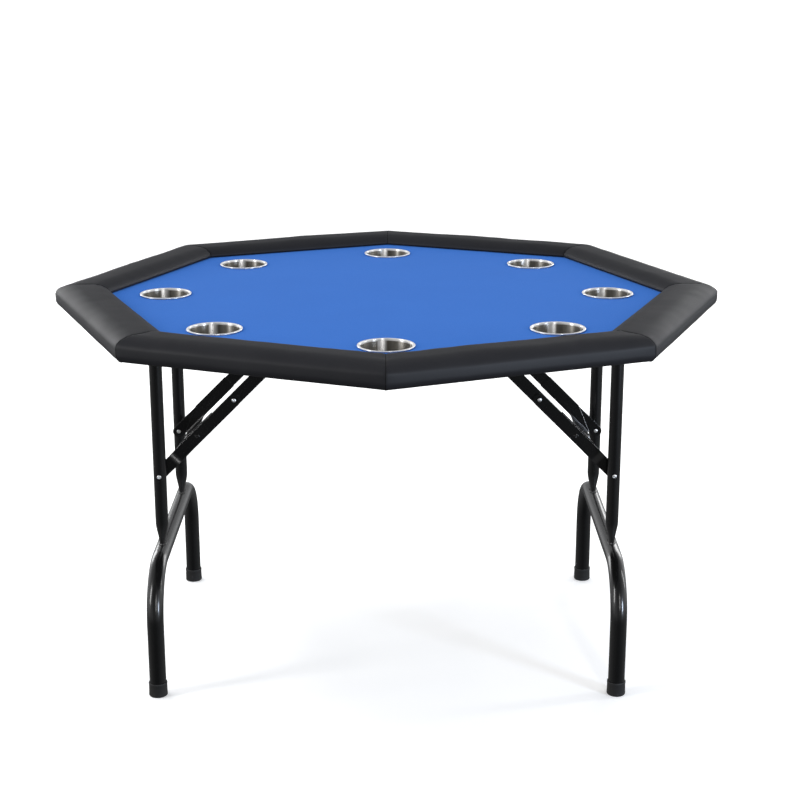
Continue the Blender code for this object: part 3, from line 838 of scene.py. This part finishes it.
# %% Mitre seams
WELT_RADIUS = 0.45 * MM
WELT_POINTS = 2 * ROUND_STEPS + LOW_STEPS + 2
for index, rings in enumerate(pad_rings):
    following = pad_rings[(index + 1) % 8]
    route = [(rings[-1][i] + following[0][i]) / 2 for i in range(WELT_POINTS)]
    welt = swept(route, WELT_RADIUS, 8)
    add_piece(f"rail_seam_{index + 1}", welt, thread, "table_top")

# %% [markdown]
# ## Tucks under the corners
# Where two covers meet under a corner there is cloth to spare, and it is
# folded over the mitre before it is stapled. Each tuck is a short soft roll
# that thins inwards, so a swept cord with a changing radius draws it.

# %% Corner tucks
TUCK_START = 15.0 * MM
TUCK_LENGTH = 34.0 * MM
TUCK_RADIUS = 2.0 * MM
TUCK_STEPS = 12
for index in EIGHT:
    turn = turned_by(index)
    route = []
    radii = []
    for step in range(TUCK_STEPS + 1):
        share = step / TUCK_STEPS
        reach = cad_high.x - TUCK_START - TUCK_LENGTH * share
        sway = 1.2 * MM * noise.noise(Vector((index * 3.1, share * 3.0, 9.0)))
        route.append(turn @ Vector((reach, sway, pad_low.z + 0.6 * MM)))
        radii.append(TUCK_RADIUS * (0.25 + 0.75 * math.sin(math.pi * share) ** 0.6))
    add_piece(f"corner_tuck_{index + 1}", swept(route, radii, 10), leather, "table_top")

# %% [markdown]
# ## Staples under the rail
# Underneath, the cover's edge is stapled to the board. Each staple is a bent
# wire whose crown lies along the lip, so it is a short swept tube, repeated
# along every side and joined into one piece.

# %% Staples
STAPLE_CROWN = 11.0 * MM
STAPLE_WIRE = 0.55 * MM
STAPLES_EACH = 12
STAPLE_INSET = 7.0 * MM
FIRST_STAPLE = 18.0 * MM
STAPLE_BENDS = ((-0.5, 1.6), (-0.5, 0.2), (-0.42, -0.25), (0.42, -0.25), (0.5, 0.2), (0.5, 1.6))
staples = []
for index in EIGHT:
    turn = turned_by(index + 0.5)
    outward = rail_outer - RAIL_LIP + STAPLE_INSET
    half = outward * math.tan(HALF_CORNER) - FIRST_STAPLE
    for i in range(STAPLES_EACH):
        along = -half + 2 * half * i / (STAPLES_EACH - 1)
        wobble = noise.noise(Vector((index, i, 0.5))) * 1.5 * MM
        route = [turn @ Vector((outward + wobble, along + share * STAPLE_CROWN, pad_low.z + rise * MM))
                 for share, rise in STAPLE_BENDS]
        staples.append(swept(route, STAPLE_WIRE, 6))
add_piece("rail_staples", many(staples), zinc, "table_top")
print(len(staples), "staples")

# %% [markdown]
# ## Cup holders
# A cup is one turned shell with a rolled lip and a stepped floor, so its
# section is drawn once and turned. It rides on its own body, because it
# lifts out of the board.


# %% Cups
CUP_WALL = 0.9 * MM
LIP_ROUND = 1.1 * MM


def cup_section(depth, rise):
    """The wall as (radius, height above the cloth), from under the floor over the lip to the floor."""
    outer = CUP_BODY_RADIUS - 0.3 * MM
    inner = outer - CUP_WALL
    lip = rise - LIP_ROUND
    bottom = -depth
    step_face = bottom + 1.6 * MM
    section = [(0.5 * MM, step_face), (outer - 13.0 * MM, step_face), (outer - 11.5 * MM, bottom)]
    section += arc((outer - 5.0 * MM, bottom + 5.0 * MM), (5.0 * MM, 5.0 * MM), -90.0, 0.0, 8)
    section += [(outer, lip - 3.0 * MM), (outer, lip - 1.0 * MM), (rim_radius - 1.0 * MM, lip - 0.9 * MM)]
    section += arc((rim_radius - LIP_ROUND, lip), (LIP_ROUND, LIP_ROUND), -60.0, 90.0, 8)
    section += arc((inner + 1.4 * MM, lip - 0.5 * MM), (1.4 * MM, 1.5 * MM), 90.0, 180.0, 8)
    section += [(inner, lip - 20.0 * MM), (inner, bottom + 20.0 * MM)]
    section += arc((inner - 4.2 * MM, bottom + CUP_WALL + 4.2 * MM), (4.2 * MM, 4.2 * MM), 0.0, -90.0, 8)
    step_top = bottom + 2.5 * MM
    section += [(outer - 11.8 * MM, bottom + CUP_WALL), (outer - 13.3 * MM, step_top), (0.5 * MM, step_top)]
    return section


for index, (low, high) in enumerate(cup_boxes):
    section = cup_section(felt_high.z - low.z, high.z - felt_high.z)
    cup = turned(section, Vector(), Z_AXIS, 96)
    add_piece(f"steel_cup_{index + 1}", cup, steel, f"cup_{index + 1}",
              [f"cup_holder_{index + 1}"], origin=(*cup_centres[index], felt_high.z))

# %% [markdown]
# ## Leg tubes
# The uprights are straight tube, squeezed flat where they meet the bent foot
# tube so that the weld has a long edge. A slice's width eases from round to
# flat, and the wall has a real inside, open at the top.

# %% Uprights
PINCH_HEIGHT = 43.0 * MM
PINCH = (0.52, 1.27)
TUBE_WALL = 1.2 * MM


def upright_slice(box, height, inset):
    """One ring of an upright at a height."""
    low, high = box
    radius = (high.x - low.x) / 2 - inset
    share = min(1.0, (height - low.z) / PINCH_HEIGHT)
    ease = 0.5 - 0.5 * math.cos(math.pi * share)
    radii = tuple(radius * (pinch + (1.0 - pinch) * ease) for pinch in PINCH)
    return circle(box_middle(box, height), X_AXIS, Y_AXIS, radii, 48)


def build_upright(side, end):
    """One upright tube."""
    node = f"leg_upright_{side}_{end}"
    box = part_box(node)
    heights = [box[0].z + PINCH_HEIGHT * i / 14 for i in range(15)] + [box[1].z - 0.5 * MM]
    rings = [upright_slice(box, height, 0.0) for height in heights]
    rings += [upright_slice(box, box[1].z, 0.4 * MM), upright_slice(box, box[1].z, TUBE_WALL)]
    rings += [upright_slice(box, height, TUBE_WALL) for height in reversed(heights[:-1])]
    add_piece(f"upright_{side}_{end}", loft(rings, joined=True), coat, f"{side}_leg", [node])


for side, end in QUARTERS:
    build_upright(side, end)

# %% [markdown]
# ## Foot tubes
# One length of heavier tube makes both feet and the bar between them. It is
# bent cold round a former, so the path is two straights, two arcs and a
# straight, with rings close together only in the bends.

# %% Foot tubes
FOOT_BEND = 100.0 * MM


def foot_path(side):
    """The centre line from the back foot to the front one, as (point, outward), and the tube's radius."""
    low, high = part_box(f"foot_tube_{side}")
    radius = (high.x - low.x) / 2
    centre_x = (low.x + high.x) / 2
    bend_y = high.y - radius - FOOT_BEND
    bend_z = high.z - radius - FOOT_BEND
    half = [(high.y - radius, low.z, 0.0), (high.y - radius, bend_z * 0.5, 0.0)]
    for step in range(19):
        turn = math.radians(5.0 * step)
        half.append((bend_y + FOOT_BEND * math.cos(turn), bend_z + FOOT_BEND * math.sin(turn), turn))
    half.append((bend_y * 0.5, high.z - radius, math.pi / 2))
    path = half + [(-y, z, math.pi - turn) for y, z, turn in reversed(half)]
    points = []
    for y, z, turn in path:
        points.append((Vector((centre_x, y, z)), Vector((0.0, math.cos(turn), math.sin(turn)))))
    return points, radius


for side in SIDES:
    path, radius = foot_path(side)
    outer = [circle(point, X_AXIS, normal, radius, 48) for point, normal in path]
    inner = [circle(point, X_AXIS, normal, radius - TUBE_WALL, 48) for point, normal in path]
    tube = loft(outer + inner[::-1], joined=True)
    add_piece(f"bent_foot_tube_{side}", tube, coat, f"{side}_leg", [f"foot_tube_{side}"])

# %% [markdown]
# ## Weld beads
# Each upright is welded to the bar all round its flattened end. A bead
# follows the line where the two tubes meet, with the ripples that a weld
# pool leaves, under the same black coat.

# %% Welds and foot caps
BEAD_RADIUS = 1.7 * MM
BEAD_GAP = 0.6 * MM
BEAD_STEPS = 72
BEAD_RIPPLE, BEAD_RIPPLES = 0.16, 18


def build_weld(side, end):
    """A rippled bead round the foot of one upright."""
    low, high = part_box(f"leg_upright_{side}_{end}")
    tube_low, tube_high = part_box(f"foot_tube_{side}")
    tube_radius = (tube_high.x - tube_low.x) / 2
    centre = box_middle((low, high), tube_high.z - tube_radius)
    half_x, half_y = ((high.x - low.x) / 2 * pinch + BEAD_GAP for pinch in PINCH)
    route = []
    sizes = []
    for i in range(BEAD_STEPS):
        angle = math.tau * i / BEAD_STEPS
        across = half_x * math.cos(angle)
        rise = math.sqrt(tube_radius ** 2 - across ** 2) + 0.5 * MM
        route.append(centre + Vector((across, half_y * math.sin(angle), rise)))
        sizes.append(BEAD_RADIUS * (1.0 + BEAD_RIPPLE * math.sin(angle * BEAD_RIPPLES)))
    add_piece(f"weld_{side}_{end}", swept(route, sizes, 8, joined=True), coat, f"{side}_leg")


def build_foot_cap(side, end):
    """A moulded cap with a soft tread edge and a thin band round its mouth."""
    node = f"foot_cap_{side}_{end}"
    low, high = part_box(node)
    tube_low, tube_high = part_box(f"foot_tube_{side}")
    radius = (high.x - low.x) / 2
    inner = (tube_high.x - tube_low.x) / 2 + 0.3 * MM
    section = [(2.0 * MM, low.z), (radius - 3.0 * MM, low.z)]
    section += arc((radius - 3.0 * MM, low.z + 3.0 * MM), (3.0 * MM, 3.0 * MM), -90.0, 0.0, 6)[1:]
    section += [(radius - 0.5 * MM, high.z - 5.0 * MM), (radius - 0.1 * MM, high.z - 4.2 * MM)]
    section += arc((radius - 0.9 * MM, high.z - 0.9 * MM), (0.9 * MM, 0.9 * MM), 0.0, 90.0, 4)
    section += [(inner, high.z - 0.2 * MM), (inner, low.z + 3.7 * MM), (2.0 * MM, low.z + 3.7 * MM)]
    cap = turned(section, box_middle((low, high), 0.0), Z_AXIS, 64)
    add_piece(f"rubber_foot_{side}_{end}", cap, rubber, f"{side}_leg", [node])


for side, end in QUARTERS:
    build_weld(side, end)
    build_foot_cap(side, end)

# %% [markdown]
# ## Brace bars
# The bars are flat strip with round ends, and each lower arm steps outwards
# near its upright to clear the rivet head. Stations along the strip give the
# round ends and the step, and a small bevel breaks the sheared edges.

# %% Bars and arms
BAR_HALF_WIDTH = 12.5 * MM
BAR_TAIL = 50.0 * MM
TAIL_CORNER = 3.0 * MM
SHEARED_EDGE = 0.5 * MM
JOGGLE_STEPS = 12
JOGGLE_START, JOGGLE_LENGTH = 0.76, 0.08
arm_length = (arm_pivot - knee_pivot).length
arm_along = (arm_pivot - knee_pivot).normalized()
arm_across = Vector((-arm_along.z, 0.0, arm_along.x))
arm_low, arm_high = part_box("lower_arm_right_back")
bar_low, bar_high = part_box("upper_bar_right_back")
bar_thickness = bar_high.y - bar_low.y


def strip(start, stations, inner, outer):
    """A flat strip from a pivot down the brace; each station is (distance, half width, step in Y)."""
    rings = []
    for reach, half_width, step in stations:
        middle = start + arm_along * reach
        corners = [(half_width, inner), (-half_width, inner), (-half_width, outer), (half_width, outer)]
        rings.append([middle + arm_across * width + Y_AXIS * (y + step) for width, y in corners])
    return loft(rings)


def round_tip(position, outward, step):
    """Stations of a half-round end, from its tip to the pivot."""
    turns = [math.radians(angle) for angle in (6, 16, 27, 38, 50, 63, 76, 90)]
    return [(position + outward * BAR_HALF_WIDTH * math.cos(turn), BAR_HALF_WIDTH * math.sin(turn), step)
            for turn in turns]


def build_bars(side, end):
    """One upper bar and one lower arm."""
    joggle = arm_high.y - arm_low.y - bar_thickness
    tail_end = arm_length + BAR_TAIL
    stations = round_tip(0.0, -1.0, 0.0) + [(tail_end - TAIL_CORNER, BAR_HALF_WIDTH, 0.0)]
    stations.append((tail_end, BAR_HALF_WIDTH - TAIL_CORNER, 0.0))
    bar = mirrored(strip(brace_pivot, stations, bar_low.y, bar_high.y), SIDES[side], ENDS[end])
    bar = add_piece(f"brace_bar_{side}_{end}", bar, coat, f"{side}_upper_brace", [f"upper_bar_{side}_{end}"])
    round_edges(bar, SHEARED_EDGE)
    stations = round_tip(0.0, -1.0, 0.0)
    for i in range(JOGGLE_STEPS + 1):
        ease = 0.5 - 0.5 * math.cos(math.pi * i / JOGGLE_STEPS)
        reach = arm_length * (JOGGLE_START + JOGGLE_LENGTH * i / JOGGLE_STEPS)
        stations.append((reach, BAR_HALF_WIDTH, joggle * ease))
    stations += reversed(round_tip(arm_length, 1.0, joggle))
    arm = mirrored(strip(knee_pivot, stations, arm_low.y, arm_low.y + bar_thickness), SIDES[side], ENDS[end])
    arm = add_piece(f"brace_arm_{side}_{end}", arm, coat, f"{side}_lower_brace", [f"lower_arm_{side}_{end}"])
    round_edges(arm, SHEARED_EDGE)


for side, end in QUARTERS:
    build_bars(side, end)

# %% [markdown]
# ## The catch plate
# A sheet bent into a channel joins the two lower arms. It is modelled as the
# middle of the sheet, a grid that runs down one flange, round a bend, across
# the web and up the other flange; Solidify then gives it the sheet's
# thickness. The rim takes the material after its face's own, so the faces along
# the slanted cut get a bare steel rim and the others a coated one.

# %% Catch plates
CATCH_HALF_HEIGHT = 14.0 * MM
CATCH_BEND = 3.0 * MM
CATCH_SHEET = 1.5 * MM
CATCH_STATIONS = (0.24, 0.34, 0.44, 0.54, 0.60, 0.67, 0.69, 0.76, 0.82, 0.88, 0.91, 0.94)
CATCH_WEB_START = 0.69
CATCH_CUT = (0.67, 0.94)
FLANGE_ROWS = 8
COATED_RIM, BARE_RIM = 2, 0


def catch_section(share, reach):
    """The middle of the sheet at one station as (Y, distance across), from flange to flange."""
    floor_level = -CATCH_HALF_HEIGHT + CATCH_SHEET / 2
    cut = min(1.0, max(0.0, (share - CATCH_CUT[0]) / (CATCH_CUT[1] - CATCH_CUT[0])))
    top = CATCH_HALF_HEIGHT + (floor_level + CATCH_BEND + 1.0 * MM - CATCH_HALF_HEIGHT) * cut
    foot = floor_level + CATCH_BEND
    flange = [(reach, top + (foot - top) * i / 4) for i in range(4)]
    if share < CATCH_WEB_START:
        bend = [(reach, foot - CATCH_BEND * i / 4) for i in range(5)]
    else:
        bend = arc((reach - CATCH_BEND, foot), (CATCH_BEND, CATCH_BEND), 0.0, -90.0, 4)
    half = flange + bend
    return half + [(-y, level) for y, level in reversed(half)]


def build_catch_plate(side):
    """The folded plate between the lower arms of one brace."""
    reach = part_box(f"catch_plate_{side}")[1].y - CATCH_SHEET / 2
    mesh = bmesh.new()
    rows = []
    for share in CATCH_STATIONS:
        middle = knee_pivot + arm_along * (share * arm_length)
        section = catch_section(share, reach)
        rows.append([mesh.verts.new(middle + arm_across * level + Y_AXIS * y) for y, level in section])
    for share, first, second in zip(CATCH_STATIONS, rows, rows[1:]):
        for i in range(len(first) - 1):
            on_flange = i < FLANGE_ROWS or i >= len(first) - 1 - FLANGE_ROWS
            if on_flange or share >= CATCH_WEB_START:
                face = mesh.faces.new((first[i], first[i + 1], second[i + 1], second[i]))
                slanted = share >= CATCH_CUT[0] and i in (0, len(first) - 2)
                face.material_index = BARE_RIM if slanted else COATED_RIM
    loose = [vertex for vertex in mesh.verts if not vertex.link_faces]
    bmesh.ops.delete(mesh, geom=loose, context="VERTS")
    plate = mirrored(mesh, SIDES[side])
    plate = add_piece(f"brace_catch_{side}", plate, coat, f"{side}_lower_brace", [f"catch_plate_{side}"])
    for finish in (bare_edge, coat):
        plate.data.materials.append(finish.material)
    sheet = plate.modifiers.new("sheet", "SOLIDIFY")
    sheet.thickness = CATCH_SHEET
    sheet.offset = 0.0
    sheet.material_offset_rim = 1
    round_edges(plate, 0.25 * MM, 1)


for side in SIDES:
    build_catch_plate(side)

# %% [markdown]
# ## Rivets
# Every pivot is a rivet with a domed head, bright zinc on the moving joints
# and black on the catch plates. A rivet is turned in one piece, shank and heads
# together, with the dimple that the setting tool leaves. The black heads keep
# to the outside of the arms, as the bars fold past the inside.

# %% Rivet shapes
HEAD_RADIUS = 4.2 * MM
BLACK_HEAD_RADIUS = 5.0 * MM
HEAD_HEIGHT = 2.0 * MM
DIMPLE = 0.7 * MM
SHANK_RADIUS = 3.0 * MM
RIVET_GAP = 0.3 * MM


def head(face, outward, radius):
    """A domed head on a face, as (radius, distance) from its rim to the middle."""
    dome_rise = HEAD_HEIGHT * 0.75
    foot = HEAD_HEIGHT - dome_rise
    dome = arc((0.0, 0.0), (radius, dome_rise), 0.0, 68.0, 7)
    dome += [(0.30 * radius, dome_rise - 0.4 * DIMPLE), (0.16 * radius, dome_rise - DIMPLE)]
    return [(radius, face)] + [(wide, face + outward * (rise + foot)) for wide, rise in dome]


def rivet(pivot, inner, outer, radius=HEAD_RADIUS, inner_head=False):
    """A rivet between two faces, with a head outside the outer one or both."""
    section = head(inner, -1.0, radius)[::-1] if inner_head else []
    section += [(SHANK_RADIUS, inner), (SHANK_RADIUS, outer)] + head(outer, 1.0, radius)
    return turned(section, pivot, Y_AXIS, 32)


# %% Rivets on the braces
upright_low, upright_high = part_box("leg_upright_right_back")
upright_face = (upright_low.y + upright_high.y) / 2 + (upright_high.x - upright_low.x) / 2
stitch_spot = knee_pivot + arm_along * (0.5 * arm_length)


def build_rivets(side, end):
    """The two bright rivets and the black one at one end of a brace."""
    quarter = (SIDES[side], ENDS[end])
    arm_face = arm_low.y + bar_thickness
    inner = arm_high.y - bar_thickness - RIVET_GAP
    swivel = mirrored(rivet(arm_pivot, inner, upright_face + RIVET_GAP, inner_head=True), *quarter)
    add_piece(f"upright_rivet_{side}_{end}", swivel, zinc, f"{side}_leg", [f"arm_rivet_{side}_{end}"])
    knee = mirrored(rivet(knee_pivot, arm_low.y - RIVET_GAP / 2, arm_face + RIVET_GAP), *quarter)
    add_piece(f"knee_head_{side}_{end}", knee, zinc, f"{side}_lower_brace", [f"knee_rivet_{side}_{end}"])
    stitch = mirrored(rivet(stitch_spot, arm_low.y + RIVET_GAP, arm_face, BLACK_HEAD_RADIUS), *quarter)
    add_piece(f"catch_rivet_{side}_{end}", stitch, coat, f"{side}_lower_brace")


for side, end in QUARTERS:
    build_rivets(side, end)

# %% [markdown]
# ## Brackets, bolts and screws
# The pressed brackets keep their frame shapes and only have their edges
# broken. A hexagon bolt and nut hold each upright, and pan-head screws with
# a cross recess hold the brackets to the board.


# %% Screws
SCREW_RADIUS, SCREW_RIM, SCREW_DOME = 4.0 * MM, 0.7 * MM, 1.5 * MM
RECESS_HALF_WIDTH, RECESS_REACH, RECESS_DEPTH = 0.42 * MM, 2.3 * MM, 0.8 * MM
PLATE_SHEET = 2.0 * MM


def cross_recess(mesh):
    """Press a cross into the top of a screw head by moving its middle vertices."""
    for vertex in mesh.verts:
        arm = min(abs(vertex.co.x), abs(vertex.co.y))
        if vertex.co.z < 0.0 and arm < RECESS_HALF_WIDTH and vertex.co.xy.length < RECESS_REACH:
            vertex.co.z += RECESS_DEPTH


def screw(spot):
    """A pan-head screw seen from below, with its head on a plate."""
    profile = [(SCREW_RADIUS, 0.0), (SCREW_RADIUS, -SCREW_RIM)]
    profile += arc((0.0, -SCREW_RIM), (SCREW_RADIUS, SCREW_DOME), -18.0, -88.0, 9)
    mesh = turned(profile, Vector(), Z_AXIS, 48)
    cross_recess(mesh)
    mesh.transform(Matrix.Translation(spot))
    return mesh


screws = []
for side in SIDES:
    for end in ENDS:
        low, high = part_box(f"leg_bracket_{side}_{end}")
        plate_face = high.z - PLATE_SHEET
        for x in (low.x + 8.0 * MM, high.x - 8.0 * MM):
            for y in (low.y + 6.5 * MM, high.y - 6.5 * MM):
                screws.append(screw(Vector((x, y, plate_face))))
    low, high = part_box(f"brace_bracket_{side}")
    for share in (0.15, 0.38, 0.62, 0.85):
        y = low.y + share * (high.y - low.y)
        screws.append(screw(Vector(((low.x + high.x) / 2, y, high.z - PLATE_SHEET))))
add_piece("bracket_screws", many(screws), zinc, "table_top")


# %% Bolts and brackets
HEX_RADIUS, HEX_HEIGHT = 5.8 * MM, 1.5 * MM
WASHER_RADIUS, WASHER_SHEET = 6.2 * MM, 0.5 * MM
BOLT_REACH, THREAD_END = 15.5 * MM, 2.4 * MM


def on_bolt(profile, face, outward, count=32):
    """Turn (radius, distance from a face) about the leg's pivot."""
    return turned([(radius, face + outward * reach) for radius, reach in profile], leg_pivot, Y_AXIS, count)


def hexagon(face, outward):
    """A six-sided head or nut on a face, with its corners eased."""
    profile = [(HEX_RADIUS, 0.0), (HEX_RADIUS, 0.8 * HEX_HEIGHT), (0.86 * HEX_RADIUS, HEX_HEIGHT)]
    return on_bolt(profile + [(1.0 * MM, HEX_HEIGHT)], face, outward, 6)


def build_bolt(side, end):
    """The bolt that one upright turns on, with washers, head and nut."""
    low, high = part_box("leg_bracket_right_back")
    ear = (low.y + high.y) / 2
    pieces = [on_bolt([(SHANK_RADIUS, -BOLT_REACH - THREAD_END), (SHANK_RADIUS, BOLT_REACH)], ear, 1)]
    for way in (-1, 1):
        washer = [(WASHER_RADIUS, BOLT_REACH), (WASHER_RADIUS, BOLT_REACH + WASHER_SHEET)]
        pieces += [on_bolt(washer, ear, way), hexagon(ear + way * (BOLT_REACH + WASHER_SHEET), way)]
    mesh = mirrored(many(pieces), SIDES[side], ENDS[end])
    add_piece(f"hinge_bolt_{side}_{end}", mesh, zinc, "table_top", [f"leg_bolt_{side}_{end}"], sharp=25.0)


PRESSED_EDGE = 0.4 * MM


def dress_node(name, finish):
    """Give a frame piece its finish and broken edges."""
    node = frame["nodes"][name]
    node.data.materials.clear()
    node.data.materials.append(finish.material)
    round_edges(node, PRESSED_EDGE)


for side in SIDES:
    for end in ENDS:
        build_bolt(side, end)
        dress_node(f"leg_bracket_{side}_{end}", coat)
    dress_node(f"brace_bracket_{side}", coat)
    dress_node(f"brace_rod_{side}", zinc)
